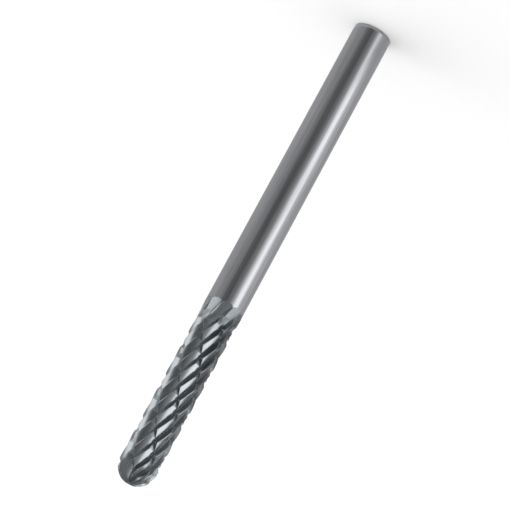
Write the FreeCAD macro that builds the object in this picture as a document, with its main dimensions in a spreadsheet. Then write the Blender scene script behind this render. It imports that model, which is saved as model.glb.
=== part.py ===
import FreeCAD, Part
import Sketcher
import math
import os

# Carbide burr: a cylinder with a ball nose, double cut, ground on a rod of one diameter.
# It stands on the flat end of its shank. The origin is the centre of that end face,
# and Z runs along the axis of rotation to the pole of the ball nose.

doc = FreeCAD.newDocument("burr")

# Driving sizes: lengths in millimetres, azimuths in degrees
sheet = doc.addObject("Spreadsheet::Sheet", "Sizes")
SIZES = (
    ("rod_diameter", "3.0"),
    ("overall_length", "40.0"),
    ("end_bevel", "0.08"),
    ("cut_length", "14.0"),
    ("runout_length", "1.25"),
    ("runout_depth", "0.16"),
    ("flute_count", "10"),
    ("flute_lead", "18.1"),
    ("flute_depth", "0.4"),
    ("flute_wall", "0.24"),
    ("flute_azimuth", "14.5"),
    ("flute_end_radius", "0.2"),
    ("crest_relief", "0.02"),
    ("breaker_count", "5"),
    ("breaker_length", "13.3"),
    ("breaker_lead", "18.1"),
    ("breaker_depth", "0.3"),
    ("breaker_width", "0.61"),
    ("breaker_wall", "0.13"),
    ("breaker_azimuth", "15.0"),
    ("breaker_end_radius", "0.75"),
)
for row, (alias, value) in enumerate(SIZES, start=1):
    sheet.set("A%d" % row, alias)
    sheet.set("B%d" % row, value)
    sheet.setAlias("B%d" % row, alias)
doc.recompute()


def size(alias):
    return float(sheet.get(alias))


# Ground rod
# One revolved profile gives the shank, its small end bevel and the ball nose.
START, END, CENTRE = 1, 2, 3
ORIGIN = (-1, 1)
Y_AXIS = -2

rod = doc.addObject("PartDesign::Body", "Rod")
rod.Label = "ground_rod"
outline = rod.newObject("Sketcher::SketchObject", "RodOutline")
upright = [plane for plane in rod.Origin.OriginFeatures if plane.Role == "XZ_Plane"]
outline.AttachmentSupport = [(upright[0], "")]
outline.MapMode = "FlatFace"
doc.recompute()

radius = size("rod_diameter") / 2
length = size("overall_length")
bevel = size("end_bevel")
equator = length - radius


def flat(x, y):
    return FreeCAD.Vector(x, y, 0)


corners = (
    flat(0, 0),
    flat(radius - bevel, 0),
    flat(radius, bevel),
    flat(radius, equator),
)
for low, high in zip(corners, corners[1:]):
    outline.addGeometry(Part.LineSegment(low, high), False)
nose_circle = Part.Circle(flat(0, equator), FreeCAD.Vector(0, 0, 1), radius)
outline.addGeometry(Part.ArcOfCircle(nose_circle, 0, math.pi / 2), False)
outline.addGeometry(Part.LineSegment(flat(0, length), flat(0, 0)), False)
FOOT, BEVEL, SIDE, NOSE, AXIS = range(5)

for kind, *places in (
    ("Coincident", FOOT, START, *ORIGIN),
    ("Coincident", FOOT, END, BEVEL, START),
    ("Coincident", BEVEL, END, SIDE, START),
    ("Coincident", SIDE, END, NOSE, START),
    ("Coincident", NOSE, END, AXIS, START),
    ("Coincident", AXIS, END, *ORIGIN),
    ("Horizontal", FOOT),
    ("Vertical", SIDE),
    ("Vertical", AXIS),
    ("PointOnObject", NOSE, CENTRE, Y_AXIS),
    ("Horizontal", NOSE, START, NOSE, CENTRE),
):
    outline.addConstraint(Sketcher.Constraint(kind, *places))

for name, expression, kind, *places in (
    ("half_width", "Sizes.rod_diameter / 2", "DistanceX", *ORIGIN, SIDE, START),
    ("height", "Sizes.overall_length", "DistanceY", *ORIGIN, NOSE, END),
    ("bevel_in", "Sizes.end_bevel", "DistanceX", BEVEL, START, BEVEL, END),
    ("bevel_up", "Sizes.end_bevel", "DistanceY", BEVEL, START, BEVEL, END),
):
    index = outline.addConstraint(Sketcher.Constraint(kind, *places, 1.0))
    outline.renameConstraint(index, name)
    outline.setExpression("Constraints." + name, expression)
doc.recompute()

turned = rod.newObject("PartDesign::Revolution", "RodTurned")
turned.Profile = outline
turned.ReferenceAxis = (outline, ["V_Axis"])
turned.Angle = 360.0
rod.Tip = turned
doc.recompute()


# Ground teeth
# Both kinds of cut run along a helix of the rod. They rise out of it at the shank end,
# where each leaves a rounded run-out, and again before the pole of the ball nose.
# A station is one section along them: the height of the point on the axis that it is
# drawn from, its tilt off the axis, and its share of the way out of the rod. The tilt
# is a right angle on the cylinder and falls towards nothing over the ball nose.
QUARTER = 90.0
OVERSHOOT = 1.35
FADE_RATIO = 1.8
TURN_STEP = 30.0
RUNOUT_STEPS = 3
NOSE_STEPS = 4
LEAVING_STEPS = 3
CLEARANCE = radius / 50
BOTTOM_SHARE = 0.8
SCOOP_EDGE = 0.25
FULL_SCOOP = 0.45


def stations(cut_length, lead, end_radius):
    """Sections along a cut that leaves the ball nose at end_radius from the axis."""
    full_height = length - cut_length
    end_tilt = math.degrees(math.asin(end_radius / radius))
    fade_tilt = end_tilt * FADE_RATIO
    places = []
    for step in range(RUNOUT_STEPS, 0, -1):
        share = OVERSHOOT * step / RUNOUT_STEPS
        places.append((full_height - size("runout_length") * share, QUARTER, share))
    straight = equator - full_height
    steps = math.ceil(straight / lead * 360 / TURN_STEP)
    for step in range(steps):
        places.append((full_height + straight * step / steps, QUARTER, 0.0))
    for step in range(NOSE_STEPS):
        places.append((equator, QUARTER - (QUARTER - fade_tilt) * step / NOSE_STEPS, 0.0))
    for step in range(LEAVING_STEPS + 1):
        share = OVERSHOOT * step / LEAVING_STEPS
        places.append((equator, fade_tilt - (fade_tilt - end_tilt) * share, share))
    return places


def turned(point, angle):
    return FreeCAD.Rotation(FreeCAD.Vector(0, 0, 1), angle).multVec(point)


def eased(toothed, scooped, share):
    """A measure of the section on its way from the teeth to the shallow scoop they end in."""
    return toothed + (scooped - toothed) * min(share / FULL_SCOOP, 1.0)


def ground(crest_radius, width, depth, wall, share):
    """One cut's section: the crest it starts at, both ends of its bottom, the next crest."""
    reach = radius - eased(depth * BOTTOM_SHARE, size("runout_depth"), share)
    floor_end = eased((1 - wall) * BOTTOM_SHARE, SCOOP_EDGE, share)
    wall_end = eased(1 - wall * BOTTOM_SHARE, 1 - SCOOP_EDGE, share)
    corners = []
    for distance, place in (
        (crest_radius, 0), (reach, floor_end), (reach, wall_end), (crest_radius, 1),
    ):
        corners.append(turned(flat(distance, 0), width * (0.5 - place)))
    return corners


def ruled(one, other, knots):
    """A ruled face between two smooth edges."""
    edges = []
    for points in (one, other):
        edge = Part.BSplineCurve()
        edge.interpolate(Points=points, Parameters=knots)
        edges.append(edge)
    surface = Part.BSplineSurface()
    surface.buildFromPolesMultsKnots(
        list(zip(edges[0].getPoles(), edges[1].getPoles())),
        edges[0].getMultiplicities(), [2, 2], edges[0].getKnots(), [0.0, 1.0],
        False, False, edges[0].Degree, 1,
    )
    return surface.toShape()


def swept(section, cut_length, lead, hand, azimuth, depth, end_radius):
    """A solid whose section's corners follow a helix, out of the rod at both ends."""
    rows = []
    knots = []
    for height, tilt, share in stations(cut_length, lead, end_radius):
        slope = math.radians(tilt)
        fade = math.sin(slope)
        lift = share ** 2 * (eased(depth, size("runout_depth"), share) * fade + CLEARANCE)
        turn = azimuth + hand * 360 * (height + radius * math.cos(slope) - length) / lead
        row = []
        for corner in section(share):
            reach = radius + (corner.Length - radius) * fade + lift
            outward = turned(corner.normalize(), turn)
            row.append(FreeCAD.Vector(
                outward.x * reach * fade, outward.y * reach * fade, height + reach * math.cos(slope)
            ))
        rows.append(row)
        knots.append(height - radius * slope)
    edges = [list(column) for column in zip(*rows)]
    faces = [ruled(one, other, knots) for one, other in zip(edges, edges[1:] + edges[:1])]
    for row in (rows[0], rows[-1]):
        middle = sum(row, FreeCAD.Vector()) / len(row)
        for one, other in zip(row, row[1:] + row[:1]):
            faces.append(Part.Face(Part.makePolygon([middle, one, other, middle])))
    shell = Part.Shell(faces)
    shell.sewShape()
    solid = Part.Solid(shell)
    if solid.Volume < 0:
        solid.reverse()
    return solid


# Chip breakers
# Left-hand grooves with the same toothed section, which cut the flutes' crests into teeth.
COVER = 1.35 * radius
FLOOR_REACH = 0.3
WALL_REACH = 0.5
breaker_angle = math.degrees(size("breaker_width") / radius)


def notch(share):
    start, floor_end, wall_end, stop = ground(
        radius, breaker_angle, size("breaker_depth"), size("breaker_wall"), share
    )
    over_floor = start + (start - floor_end) * FLOOR_REACH
    over_wall = stop + (stop - wall_end) * WALL_REACH
    return [over_floor, floor_end, wall_end, over_wall, flat(COVER, 0)]


breaker = swept(
    notch, size("breaker_length"), size("breaker_lead"), -1,
    size("breaker_azimuth") - breaker_angle / 2, size("breaker_depth"),
    size("breaker_end_radius"),
)
breakers = []
for index in range(int(size("breaker_count"))):
    groove = doc.addObject("Part::Feature", "Breaker")
    groove.Shape = breaker
    groove.Placement.Rotation.Axis = FreeCAD.Vector(0, 0, 1)
    groove.setExpression("Placement.Rotation.Angle", "%d * 360 / Sizes.breaker_count" % index)
    breakers.append(groove)
grooves = doc.addObject("Part::Compound", "Breakers")
grooves.Links = breakers
notched = doc.addObject("Part::Cut", "NotchedRod")
notched.Base = rod
notched.Tool = grooves
notched.Refine = False
doc.recompute()

# Flutes
# The right-hand flutes are all that lies outside one toothed envelope. Its faces are
# their floors, bottoms and walls. The crests between them are ground sharp, just under
# the rod's skin, and beyond the run-outs the envelope is wider than the rod.
RUNOUT_MARGIN = 1.2
pitch = 360 / size("flute_count")


def teeth(share):
    crest, floor_end, wall_end, _ = ground(
        radius - size("crest_relief"), pitch, size("flute_depth"), size("flute_wall"), share
    )
    corners = []
    for tooth in range(int(size("flute_count"))):
        for corner in (crest, floor_end, wall_end):
            corners.append(turned(corner, -tooth * pitch))
    return corners


envelope = doc.addObject("Part::Feature", "ToothEnvelope")
envelope.Shape = swept(
    teeth, size("cut_length"), size("flute_lead"), 1, size("flute_azimuth") - pitch / 2,
    size("flute_depth"), size("flute_end_radius"),
)
space = doc.addObject("Part::Cylinder", "GrindingSpace")
below = "Sizes.cut_length + Sizes.runout_length * %s" % RUNOUT_MARGIN
space.setExpression("Radius", "Sizes.rod_diameter")
space.setExpression("Height", below + " + Sizes.rod_diameter")
space.setExpression("Placement.Base.z", "Sizes.overall_length - (" + below + ")")
flutes = doc.addObject("Part::Cut", "Flutes")
flutes.Base = space
flutes.Tool = envelope
flutes.Refine = False
doc.recompute()

burr = doc.addObject("Part::Cut", "Burr")
burr.Label = "carbide_burr"
burr.Base = notched
burr.Tool = flutes
burr.Refine = False
doc.recompute()

# Every object has to be sound before the burr is written
for item in doc.Objects:
    for fault in ("Invalid", "Error"):
        if fault in item.State:
            raise ValueError(item.Name + " was not made: " + fault)
if burr.Shape.isNull() or not burr.Shape.isValid() or len(burr.Shape.Solids) != 1:
    raise ValueError("the burr is not one sound solid")
for earlier, later in ((rod, notched), (notched, burr)):
    if later.Shape.Volume >= earlier.Shape.Volume:
        raise ValueError(later.Name + " has lost nothing to its cuts")
os.makedirs("parts", exist_ok=True)
burr.Shape.exportStep(os.path.join("parts", burr.Label + ".step"))
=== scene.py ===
import math

import bmesh
import bpy
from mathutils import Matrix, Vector


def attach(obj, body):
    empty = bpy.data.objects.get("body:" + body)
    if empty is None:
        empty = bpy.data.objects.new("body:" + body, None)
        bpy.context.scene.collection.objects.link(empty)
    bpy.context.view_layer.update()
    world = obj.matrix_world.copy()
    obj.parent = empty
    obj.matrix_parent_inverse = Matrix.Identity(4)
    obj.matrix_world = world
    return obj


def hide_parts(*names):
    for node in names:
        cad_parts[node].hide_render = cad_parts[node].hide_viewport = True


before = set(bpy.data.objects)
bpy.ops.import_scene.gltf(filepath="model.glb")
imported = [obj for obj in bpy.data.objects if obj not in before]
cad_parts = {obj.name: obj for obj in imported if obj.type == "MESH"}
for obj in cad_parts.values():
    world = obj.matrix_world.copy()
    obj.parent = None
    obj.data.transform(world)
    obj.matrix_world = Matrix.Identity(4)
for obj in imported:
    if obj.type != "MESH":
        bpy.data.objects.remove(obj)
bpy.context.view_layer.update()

# Blank: one rod of sintered tungsten carbide, 3 mm across and 40 mm long, centreless
# ground. A small rounded bevel breaks the flat end of its shank, and the other end is a
# ball nose.
mm = 0.001
radius = 1.5 * mm
length = 40.0 * mm
bevel = 0.08 * mm
rounding = bevel * 0.3
equator = length - radius
NOSE_STEPS = 32
ROUND_STEPS = 144
outline = [(0, 0), (radius - bevel, 0), (radius - rounding, rounding), (radius, bevel)]
outline += [(radius, length / 2), (radius, equator)]
for step in range(1, NOSE_STEPS + 1):
    tilt = math.pi / 2 * step / NOSE_STEPS
    outline.append((radius * math.cos(tilt), equator + radius * math.sin(tilt)))
blank = bmesh.new()
profile = [blank.verts.new((x, 0, z)) for x, z in outline]
edges = [blank.edges.new(pair) for pair in zip(profile, profile[1:])]
bmesh.ops.spin(
    blank, geom=profile + edges, axis=(0, 0, 1), angle=math.tau, steps=ROUND_STEPS,
)
bmesh.ops.remove_doubles(blank, verts=blank.verts, dist=radius / 10000)
bmesh.ops.recalc_face_normals(blank, faces=blank.faces)
blank_mesh = bpy.data.meshes.new("ground_blank")
blank.to_mesh(blank_mesh)
blank.free()
burr = bpy.data.objects.new("ground_burr", blank_mesh)
bpy.context.scene.collection.objects.link(burr)

# Shank finish: bright ground carbide, a neutral grey mirror broken up by fine lengthwise
# polishing lines that stretch its highlights. The real lines are finer than the eye can
# part, so they are drawn nine to a millimetre.


def srgb(code):
    """Linear colour from a six-figure hex colour."""
    parts = [int(code[at:at + 2], 16) / 255 for at in (0, 2, 4)]
    return (*[p / 12.92 if p <= 0.04045 else ((p + 0.055) / 1.055) ** 2.4 for p in parts], 1)


def add(tree, kind, inputs=(), **settings):
    """Adds a node, or a maths node if kind is an operation, with its values, links and settings."""
    node = tree.nodes.new(kind if "Node" in kind else "ShaderNodeMath")
    if "Node" not in kind:
        node.operation = kind
    for name, value in settings.items():
        setattr(node, name, value)
    for place, value in (inputs.items() if isinstance(inputs, dict) else enumerate(inputs)):
        source = value.outputs[0] if isinstance(value, bpy.types.Node) else value
        if isinstance(source, bpy.types.NodeSocket):
            tree.links.new(source, node.inputs[place])
        else:
            node.inputs[place].default_value = source
    return node


polish_lines = 9 / mm
polish_reach = 1 / (6.25 * mm)
bright = bpy.data.materials.new("carbide_ground_bright")
bright.use_nodes = True
tree = bright.node_tree
spot = add(tree, "ShaderNodeTexCoord").outputs["Object"]
stretched = add(
    tree, "ShaderNodeVectorMath", (spot, (polish_lines, polish_lines, polish_reach)),
    operation="MULTIPLY",
)
lines = add(tree, "ShaderNodeTexNoise", {
    "Vector": stretched, "Scale": 1.0, "Detail": 4.0, "Roughness": 0.6,
})
tone = add(tree, "ShaderNodeValToRGB", (lines,))
tone.color_ramp.elements[0].position = 0.3
tone.color_ramp.elements[0].color = srgb("939497")
tone.color_ramp.elements[1].position = 0.75
tone.color_ramp.elements[1].color = srgb("aaabaf")
gloss = add(tree, "ShaderNodeMapRange", (lines, 0.3, 0.75, 0.12, 0.22))
dent = add(tree, "ShaderNodeBump", {"Height": lines, "Strength": 0.25, "Distance": 0.002 * mm})
shader = tree.nodes["Principled BSDF"]
shader.inputs["Metallic"].default_value = 1.0
for name, source in (("Base Color", tone), ("Roughness", gloss), ("Normal", dent)):
    tree.links.new(source.outputs[0], shader.inputs[name])

# Flute and chip breaker finishes: satin and matt ground carbide, darker than the shank as painted
# shade.
# Grinding lines along the helix and a fine grain let the teeth glow softly, while the
# grooves that cut them stay dull. Both are drawn coarser than the wheel's unseen grit.
grinding_lines = 16 / mm
grit_marks = 26 / mm
line_stretch = 20
flute_lead = 18.1 * mm
painted_shade_coats = []
for name, least_rough, most_rough in (
    ("carbide_ground_satin", 0.20, 0.32), ("carbide_ground_matt", 0.38, 0.48),
):
    coat = bpy.data.materials.new(name)
    coat.use_nodes = True
    tree = coat.node_tree
    spot = add(tree, "ShaderNodeTexCoord").outputs["Object"]
    axes = add(tree, "ShaderNodeSeparateXYZ", (spot,))
    around = add(tree, "ARCTAN2", (axes.outputs[1], axes.outputs[0]))
    untwisted = add(tree, "MULTIPLY_ADD", (axes.outputs[2], -math.tau / flute_lead, around))
    unrolled = add(tree, "ShaderNodeCombineXYZ", (
        add(tree, "MULTIPLY", (add(tree, "COSINE", (untwisted,)), radius)),
        add(tree, "MULTIPLY", (add(tree, "SINE", (untwisted,)), radius)),
        add(tree, "MULTIPLY", (axes.outputs[2], 1 / line_stretch)),
    ))
    lines = add(tree, "ShaderNodeTexNoise", {
        "Vector": unrolled, "Scale": grinding_lines, "Detail": 3.0, "Roughness": 0.6,
    })
    grain = add(tree, "ShaderNodeTexNoise", {
        "Vector": spot, "Scale": grit_marks, "Detail": 2.0, "Roughness": 0.7,
    })
    both = add(tree, "ShaderNodeMix", {"Factor": 0.4, "A": lines, "B": grain}, data_type="FLOAT")
    # Painted shade: grinding lines and grain in a carbide grey set darker than the shank's
    tone = add(tree, "ShaderNodeValToRGB", (both,))
    tone.color_ramp.elements[0].position = 0.3
    tone.color_ramp.elements[0].color = srgb("73787b")
    tone.color_ramp.elements[1].position = 0.7
    tone.color_ramp.elements[1].color = srgb("8f9396")
    gloss = add(tree, "ShaderNodeMapRange", (both, 0.3, 0.7, least_rough, most_rough))
    worn_edge = add(tree, "ShaderNodeBevel", {"Radius": 0.03 * mm}, samples=6)
    dent = add(tree, "ShaderNodeBump", {
        "Height": both, "Strength": 0.35, "Distance": 0.003 * mm, "Normal": worn_edge,
    })
    shader = tree.nodes["Principled BSDF"]
    shader.inputs["Metallic"].default_value = 1.0
    for socket, source in (("Base Color", tone), ("Roughness", gloss), ("Normal", dent)):
        tree.links.new(source.outputs[0], shader.inputs[socket])
    painted_shade_coats.append(coat)
satin, matt = painted_shade_coats

# Grinding envelope: the space that one set of helical cuts leaves standing. A cut falls
# along its floor, turns in a small round, and climbs its steep wall. It grows shallow and
# round where the wheel lifts out, at the shank end and before the pole of the ball nose.
cuts = bpy.data.node_groups.new("Grinding envelope", "GeometryNodeTree")
cuts.interface.new_socket("Geometry", in_out="OUTPUT", socket_type="NodeSocketGeometry")
for name in (
    "Cuts", "Lead", "Azimuth", "Depth", "Wall share", "Land share", "Cut share",
    "Column share", "Columns", "Crest lift", "Gullet round", "Cut length", "Run-out",
    "Run-out turn", "End tilt", "Finish",
):
    cuts.interface.new_socket(name, in_out="INPUT", socket_type="NodeSocketFloat")
given = {socket.name: socket for socket in add(cuts, "NodeGroupInput").outputs}

# The sheet has a row for each section along the cuts. The sections run on past the rod's
# skin to the last share, the nose's fade starts at a ratio of the end tilt, and at the
# full scoop's share nothing is left of the toothed section. The end rows close the sheet:
# the first two hang below the rod's foot, and the outermost gather on the axis.
ROWS = 240
END_ROWS = 2
LAST_SHARE = 1.35
FADE = 1.8
FULL_SCOOP = 0.4
EXIT_LIFT = 0.1 * mm
COVER = 1.05 * radius
FOOT_GAP = 1.0 * mm
columns = add(cuts, "MULTIPLY_ADD", (given["Columns"], given["Cuts"], 1.0))
sheet = add(cuts, "GeometryNodeMeshGrid", (1.0, 1.0, ROWS, columns))
place = add(cuts, "ShaderNodeSeparateXYZ", (add(cuts, "GeometryNodeInputPosition"),))
row = add(cuts, "MULTIPLY_ADD", (place.outputs[0], ROWS - 1.0, (ROWS - 1) / 2))
past_foot = add(cuts, "SUBTRACT", (row, END_ROWS))
along = add(cuts, "DIVIDE", (past_foot, ROWS - END_ROWS * 2), use_clamp=True)
around = add(cuts, "MULTIPLY", (add(cuts, "ADD", (place.outputs[1], 0.5)), given["Cuts"]))

# A row stands at a height on the axis, tilted off it over the nose. Its share is how far
# the wheel has lifted there, from nothing to all the way out of the rod.
full_height = add(cuts, "SUBTRACT", (length, given["Cut length"]))
first = add(cuts, "MULTIPLY_ADD", (given["Run-out"], -LAST_SHARE, full_height))
straight = add(cuts, "SUBTRACT", (equator, first))
last_tilt = add(cuts, "MULTIPLY", (given["End tilt"], FADE - (FADE - 1) * LAST_SHARE))
bend = add(cuts, "MULTIPLY", (add(cuts, "SUBTRACT", (math.pi / 2, last_tilt)), radius))
travel = add(cuts, "MULTIPLY", (along, add(cuts, "ADD", (straight, bend))))
height = add(cuts, "ADD", (first, add(cuts, "MINIMUM", (travel, straight))))
over = add(cuts, "MAXIMUM", (add(cuts, "SUBTRACT", (travel, straight)), 0.0))
tilt = add(cuts, "MULTIPLY_ADD", (over, -1 / radius, math.pi / 2))
below = add(cuts, "SUBTRACT", (full_height, height))
low_share = add(cuts, "MAXIMUM", (add(cuts, "DIVIDE", (below, given["Run-out"])), 0.0))
fade_tilt = add(cuts, "MULTIPLY", (given["End tilt"], FADE))
past = add(cuts, "SUBTRACT", (fade_tilt, tilt))
high_share = add(cuts, "DIVIDE", (past, add(cuts, "MULTIPLY", (given["End tilt"], FADE - 1))))
share = add(cuts, "MAXIMUM", (low_share, high_share))
fade = add(cuts, "SINE", (tilt,))

# A column stands within its cut: most columns crowd into the cut, few cross the land
step = add(cuts, "FRACT", (around,))
whole = add(cuts, "SUBTRACT", (around, step))
within = add(cuts, "ShaderNodeMapRange", (step, 0.0, given["Column share"], 0.0, 1.0))
beyond = add(cuts, "ShaderNodeMapRange", (
    step, given["Column share"], 1.0, 0.0, add(cuts, "SUBTRACT", (1.0, given["Cut share"])),
))
phase = add(cuts, "MULTIPLY_ADD", (within, given["Cut share"], beyond))
turns = add(cuts, "DIVIDE", (add(cuts, "ADD", (whole, phase)), given["Cuts"]))
floor_share = add(cuts, "SUBTRACT", (1.0, given["Wall share"]))
down_floor = add(cuts, "DIVIDE", (
    add(cuts, "SUBTRACT", (within, given["Land share"])),
    add(cuts, "SUBTRACT", (floor_share, given["Land share"])),
))
up_wall = add(cuts, "DIVIDE", (add(cuts, "SUBTRACT", (1.0, within)), given["Wall share"]))
valley = add(cuts, "SMOOTH_MIN", (down_floor, up_wall, given["Gullet round"]))
toothed = add(cuts, "MAXIMUM", (valley, 0.0))
hollow = add(cuts, "MULTIPLY", (add(cuts, "SUBTRACT", (1.0, within)), within))
scooped = add(cuts, "MULTIPLY", (add(cuts, "SQRT", (hollow,)), 2.0))
scoop = add(cuts, "DIVIDE", (share, FULL_SCOOP), use_clamp=True)
drop = add(cuts, "MULTIPLY_ADD", (add(cuts, "SUBTRACT", (scooped, toothed)), scoop, toothed))
left = add(cuts, "MULTIPLY", (add(cuts, "SUBTRACT", (1.0, share), use_clamp=True), drop))
depth = add(cuts, "MULTIPLY", (left, given["Depth"]))
inward = add(cuts, "MULTIPLY", (add(cuts, "SUBTRACT", (given["Crest lift"], depth)), fade))
outward = add(cuts, "MULTIPLY", (add(cuts, "POWER", (share, 3.0)), EXIT_LIFT))
reach = add(cuts, "ADD", (add(cuts, "ADD", (inward, outward)), radius))

# The section turns with its distance from the pole, and the run-outs turn back a little
level = add(cuts, "MULTIPLY_ADD", (add(cuts, "COSINE", (tilt,)), radius, height))
helix = add(cuts, "DIVIDE", (add(cuts, "SUBTRACT", (level, length)), given["Lead"]))
start = add(cuts, "MULTIPLY_ADD", (
    add(cuts, "POWER", (low_share, 1.5)), given["Run-out turn"], given["Azimuth"],
))
angle = add(cuts, "MULTIPLY_ADD", (add(cuts, "SUBTRACT", (helix, turns)), math.tau, start))
off_axis = add(cuts, "COMPARE", (row, (ROWS - 1) / 2, (ROWS - 2) / 2))
flat_reach = add(cuts, "MULTIPLY", (add(cuts, "MULTIPLY", (reach, fade)), off_axis))
upright = add(cuts, "MULTIPLY_ADD", (add(cuts, "SUBTRACT", (reach, COVER)), off_axis, COVER))
raised = add(cuts, "MULTIPLY_ADD", (upright, add(cuts, "COSINE", (tilt,)), height))
spot = add(cuts, "ShaderNodeCombineXYZ", (
    add(cuts, "MULTIPLY", (add(cuts, "COSINE", (angle,)), flat_reach)),
    add(cuts, "MULTIPLY", (add(cuts, "SINE", (angle,)), flat_reach)),
    add(cuts, "MULTIPLY_ADD", (
        add(cuts, "ADD", (raised, FOOT_GAP)), add(cuts, "GREATER_THAN", (row, END_ROWS - 0.5)),
        -FOOT_GAP,
    )),
))
wrapped = add(cuts, "GeometryNodeSetPosition", {"Geometry": sheet, "Position": spot})
sealed = add(cuts, "GeometryNodeMergeByDistance", {
    "Geometry": wrapped, "Distance": radius / 5000,
})
marked = add(
    cuts, "GeometryNodeStoreNamedAttribute",
    {"Geometry": sealed, "Name": "finish", "Value": given["Finish"]},
    data_type="FLOAT", domain="FACE",
)
add(cuts, "NodeGroupOutput", (marked,))

# Teeth: ten right-hand flutes, and five left-hand chip breakers that cut every crest
# into short teeth. Both sets are ground into the blank in one go, and every face gets
# the finish of what ground it.
teeth = bpy.data.node_groups.new("Ground teeth", "GeometryNodeTree")
teeth.interface.new_socket("Geometry", in_out="OUTPUT", socket_type="NodeSocketGeometry")
teeth.interface.new_socket("Geometry", in_out="INPUT", socket_type="NodeSocketGeometry")
sizes = {
    "Flutes": 10, "Flute lead": flute_lead, "Flute depth": 0.35 * mm, "Flute wall": 0.24,
    "Flute length": 13.4 * mm, "Flute run-out": 2.1 * mm,
    "Breakers": 5, "Breaker lead": 18.1 * mm, "Breaker depth": 0.30 * mm,
    "Breaker width": 0.61 * mm, "Breaker wall": 0.13,
    "Breaker length": 13.3 * mm, "Breaker run-out": 1.4 * mm,
}
for name in sizes:
    teeth.interface.new_socket(name, in_out="INPUT", socket_type="NodeSocketFloat")
asked = {socket.name: socket for socket in add(teeth, "NodeGroupInput").outputs}
flute_set = add(teeth, "GeometryNodeGroup", node_tree=cuts)
proud = 0.06 * mm
flute_end = 0.17 * mm
breaker_end = 0.68 * mm
full_depth = add(teeth, "ADD", (asked["Breaker depth"], proud))
swell = add(teeth, "DIVIDE", (full_depth, asked["Breaker depth"]))
full_width = add(teeth, "MULTIPLY", (asked["Breaker width"], swell))
spacing = add(teeth, "DIVIDE", (math.tau * radius, asked["Breakers"]))
breaker_set = add(teeth, "GeometryNodeGroup", node_tree=cuts)
for group, values in (
    (flute_set, {
        "Cuts": asked["Flutes"], "Lead": asked["Flute lead"], "Azimuth": math.radians(14.5),
        "Depth": asked["Flute depth"], "Wall share": asked["Flute wall"], "Land share": 0.05,
        "Cut share": 1.0, "Column share": 1.0, "Columns": 20.0, "Crest lift": -0.02 * mm,
        "Gullet round": 0.22, "Cut length": asked["Flute length"],
        "Run-out": asked["Flute run-out"], "Run-out turn": math.radians(16.4),
        "End tilt": math.asin(flute_end / radius), "Finish": 1.0,
    }),
    (breaker_set, {
        "Cuts": asked["Breakers"], "Azimuth": math.radians(19.05),
        "Lead": add(teeth, "MULTIPLY", (asked["Breaker lead"], -1.0)).outputs[0],
        "Depth": full_depth.outputs[0], "Wall share": asked["Breaker wall"],
        "Land share": 0.0, "Cut share": add(teeth, "DIVIDE", (full_width, spacing)).outputs[0],
        "Column share": 0.75, "Columns": 16.0, "Crest lift": proud, "Gullet round": 0.22,
        "Cut length": asked["Breaker length"], "Run-out": asked["Breaker run-out"],
        "Run-out turn": 0.0, "End tilt": math.asin(breaker_end / radius), "Finish": 2.0,
    }),
):
    for name, value in values.items():
        if isinstance(value, bpy.types.NodeSocket):
            teeth.links.new(value, group.inputs[name])
        else:
            group.inputs[name].default_value = value

# What is left is inside the blank and both envelopes. Edges sharper than the limit stay
# crisp, as ground edges are, and the rest is shaded smooth.
sharp = math.radians(22)
ground = add(teeth, "GeometryNodeMeshBoolean", operation="INTERSECT", solver="MANIFOLD")
for part in (asked["Geometry"], flute_set.outputs[0], breaker_set.outputs[0]):
    teeth.links.new(part, ground.inputs["Mesh 2"])
blunt = add(teeth, "LESS_THAN", (add(teeth, "GeometryNodeInputMeshEdgeAngle"), sharp))
shaded = add(
    teeth, "GeometryNodeSetShadeSmooth", {"Geometry": ground, "Shade Smooth": blunt}, domain="EDGE",
)
finished = add(teeth, "GeometryNodeRealizeInstances", (shaded,))
mark = add(teeth, "GeometryNodeInputNamedAttribute", {"Name": "finish"}, data_type="FLOAT")
for number, coat in enumerate((bright, satin, matt)):
    finished = add(teeth, "GeometryNodeSetMaterial", {
        "Geometry": finished, "Selection": add(teeth, "COMPARE", (mark, float(number), 0.5)),
        "Material": coat,
    })
add(teeth, "NodeGroupOutput", (finished,))
grinding = burr.modifiers.new("Ground teeth", "NODES")
grinding.node_group = teeth
for item in teeth.interface.items_tree:
    if item.name in sizes:
        grinding[item.identifier] = float(sizes[item.name])
evaluated = burr.evaluated_get(bpy.context.evaluated_depsgraph_get())
burr_mesh = bpy.data.meshes.new_from_object(evaluated)
burr_mesh.name = "ground_burr"
burr.modifiers.remove(grinding)
burr.data = burr_mesh
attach(burr, "root")
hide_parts("carbide_burr")

# Floor: a matt white sheet. Lit from above it is just white to the camera, and the foot
# of the burr keeps a soft shadow.
floor_reach = 2.0
corners = [(-1, -1), (1, -1), (1, 1), (-1, 1)]
floor_mesh = bpy.data.meshes.new("floor")
floor_mesh.from_pydata(
    [(x * floor_reach, y * floor_reach, 0) for x, y in corners], [], [(0, 1, 2, 3)],
)
floor = bpy.data.objects.new("floor", floor_mesh)
bpy.context.scene.collection.objects.link(floor)
paper = bpy.data.materials.new("paper_matt_white")
paper.use_nodes = True
shader = paper.node_tree.nodes["Principled BSDF"]
shader.inputs["Base Color"].default_value = srgb("fafafa")
shader.inputs["Roughness"].default_value = 0.95
shader.inputs["Specular IOR Level"].default_value = 0.1
floor_mesh.materials.append(paper)

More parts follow.
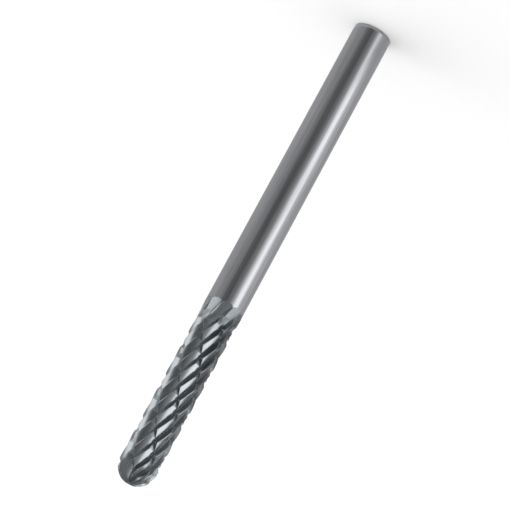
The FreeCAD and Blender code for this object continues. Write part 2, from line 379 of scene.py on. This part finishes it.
# Reflection cards: a sleeve round the shank, four rings round the burr and a ceiling.
# Only the burr's reflections see them. Their light and dark stretches stand for the
# strip lights and black flags of a studio, as degrees round the ring and brightness.
dark_side = (
    (-180, 0.05), (-165, 0.06), (-148, 0.2), (-130, 0.14), (-100, 0.12), (-77, 0.14),
    (-62, 0.145), (-50, 0.12), (-36, 0.105), (-27, 0.085), (-19, 0.05), (-6, 0.04),
    (10, 0.095), (18, 0.2),
)
wide_strip = ((25, 0.38), (31, 0.48), (37, 0.46), (44, 0.27), (52, 0.2), (65, 0.17))
narrow_strip = ((23, 0.33), (29, 0.32), (34, 0.2), (40, 0.165), (50, 0.14), (65, 0.14))
far_side = (
    (77, 0.145), (100, 0.12), (125, 0.14), (138, 0.42), (152, 0.42), (163, 0.1), (180, 0.05),
)
at_head = dark_side + wide_strip + far_side
at_end = dark_side + narrow_strip + far_side

# The shank's strip light is narrow below the first height and wide above the second.
# A ring has a radius, a low and a high edge in millimetres, and one or two looks.
narrow_below = 1.5 * mm
wide_above = 6.0 * mm
card_strength = 5.0
cards = []
for name, reach, low, high, *stretches in (
    ("shank_cards", 1.9, 0.05, 24.8, at_end, at_head),
    ("low_cards", 12, 0.3, 24.0, (
        (-180, 0.12), (-150, 0.16), (-60, 0.14), (-36, 0.05), (36, 0.05), (52, 0.17),
        (76, 0.17), (100, 0.05), (180, 0.1),
    )),
    ("run_out_cards", 12, 24.0, 27.0, (
        (-180, 0.14), (-110, 0.2), (-85, 0.4), (-60, 0.4), (-30, 0.13), (28, 0.13),
        (55, 0.3), (90, 0.3), (110, 0.14), (180, 0.14),
    )),
    ("head_cards", 12, 27.0, 42.0, (
        (-180, 0.3), (-165, 0.36), (-125, 0.43), (-114, 0.1), (-96, 0.15), (-85, 0.52),
        (-54, 0.58), (-43, 0.07), (-25, 0.05), (0, 0.06), (22, 0.13), (42, 0.2),
        (49, 0.63), (88, 0.68), (100, 0.1), (140, 0.05), (160, 0.1), (180, 0.3),
    )),
    ("nose_cards", 12, 42.0, 70.0, (
        (-180, 0.05), (-110, 0.09), (40, 0.1), (50, 0.36), (70, 0.36), (80, 0.08),
        (120, 0.04), (180, 0.04),
    )),
):
    ring = bmesh.new()
    bmesh.ops.create_cone(
        ring, segments=96, radius1=reach * mm, radius2=reach * mm, depth=(high - low) * mm,
    )
    bmesh.ops.translate(ring, verts=ring.verts, vec=(0, 0, (high + low) / 2 * mm))
    ring_mesh = bpy.data.meshes.new(name)
    ring.to_mesh(ring_mesh)
    ring.free()
    glow = bpy.data.materials.new(name + "_glow")
    glow.use_nodes = True
    tree = glow.node_tree
    tree.nodes.clear()
    spot = add(tree, "ShaderNodeTexCoord").outputs["Object"]
    sweep = add(tree, "ShaderNodeTexGradient", (spot,), gradient_type="RADIAL")
    height = add(tree, "ShaderNodeSeparateXYZ", (spot,)).outputs["Z"]
    climb = add(tree, "ShaderNodeMapRange", (height, narrow_below, wide_above))

    # A radial gradient is 0.5 toward the camera, and falls as the degrees grow
    looks = []
    for around in stretches:
        levels = add(tree, "ShaderNodeValToRGB", (sweep,))
        marks = sorted((0.5 - degrees / 360, level) for degrees, level in around)
        ramp = levels.color_ramp.elements
        for place, level in marks[1:-1]:
            ramp.new(place)
        for element, (place, level) in zip(ramp, marks):
            element.position = place
            element.color = (level, level, level, 1)
        looks.append(levels)
    look = add(tree, "ShaderNodeMixRGB", (climb, looks[0], looks[-1]))
    light = add(tree, "ShaderNodeEmission", {"Color": look, "Strength": card_strength})
    add(tree, "ShaderNodeOutputMaterial", {"Surface": light})
    ring_mesh.materials.append(glow)
    cards.append(bpy.data.objects.new(name, ring_mesh))
lid_reach = 14 * mm
lid_height = 70 * mm
lid_mesh = bpy.data.meshes.new("ceiling_card")
lid_mesh.from_pydata(
    [(x * lid_reach, y * lid_reach, lid_height) for x, y in corners], [], [(3, 2, 1, 0)],
)
shade = bpy.data.materials.new("ceiling_card_glow")
shade.use_nodes = True
shade.node_tree.nodes.clear()
dim = add(shade.node_tree, "ShaderNodeEmission", {"Strength": 0.43})
add(shade.node_tree, "ShaderNodeOutputMaterial", {"Surface": dim})
lid_mesh.materials.append(shade)
cards.append(bpy.data.objects.new("ceiling_card", lid_mesh))
for card in cards:
    bpy.context.scene.collection.objects.link(card)
    for ray in ("camera", "diffuse", "transmission", "shadow"):
        setattr(card, "visible_" + ray, False)

# Light: one large soft panel overhead, and an even white room. The panel shapes only the
# soft shadow and the floor, as the burr mirrors the cards.
panel = bpy.data.objects.new("panel", bpy.data.lights.new("panel", "AREA"))
bpy.context.scene.collection.objects.link(panel)
panel.data.shape = "DISK"
panel.data.size = 0.3
panel.data.energy = 0.4
panel.location = (-0.1, 0.15, 0.4)
panel.rotation_euler = Vector(panel.location).to_track_quat("Z", "Y").to_euler()
panel.visible_glossy = False
world = bpy.context.scene.world or bpy.data.worlds.new("studio")
bpy.context.scene.world = world
world.use_nodes = True
world.node_tree.nodes["Background"].inputs[0].default_value = (1, 1, 1, 1)
world.node_tree.nodes["Background"].inputs[1].default_value = 0.9

# Camera: the photograph's angle, 19 degrees above the level and rolled, so that the
# standing burr lies across the frame with its nose at the lower left.
photo_width = 510
half_pixel = 0.5 / photo_width
camera = bpy.data.objects.new("camera", bpy.data.cameras.new("camera"))
bpy.context.scene.collection.objects.link(camera)
camera.location = (0.229979, 0, 0.101316)
camera.rotation_euler = [math.radians(turn) for turn in (-68.1168, 26.7013, -79.7224)]
camera.data.lens = 233.287
camera.data.clip_start = 0.01
camera.data.shift_x = -half_pixel
camera.data.shift_y = half_pixel
bpy.context.scene.camera = camera
bpy.context.scene.view_settings.view_transform = "Standard"
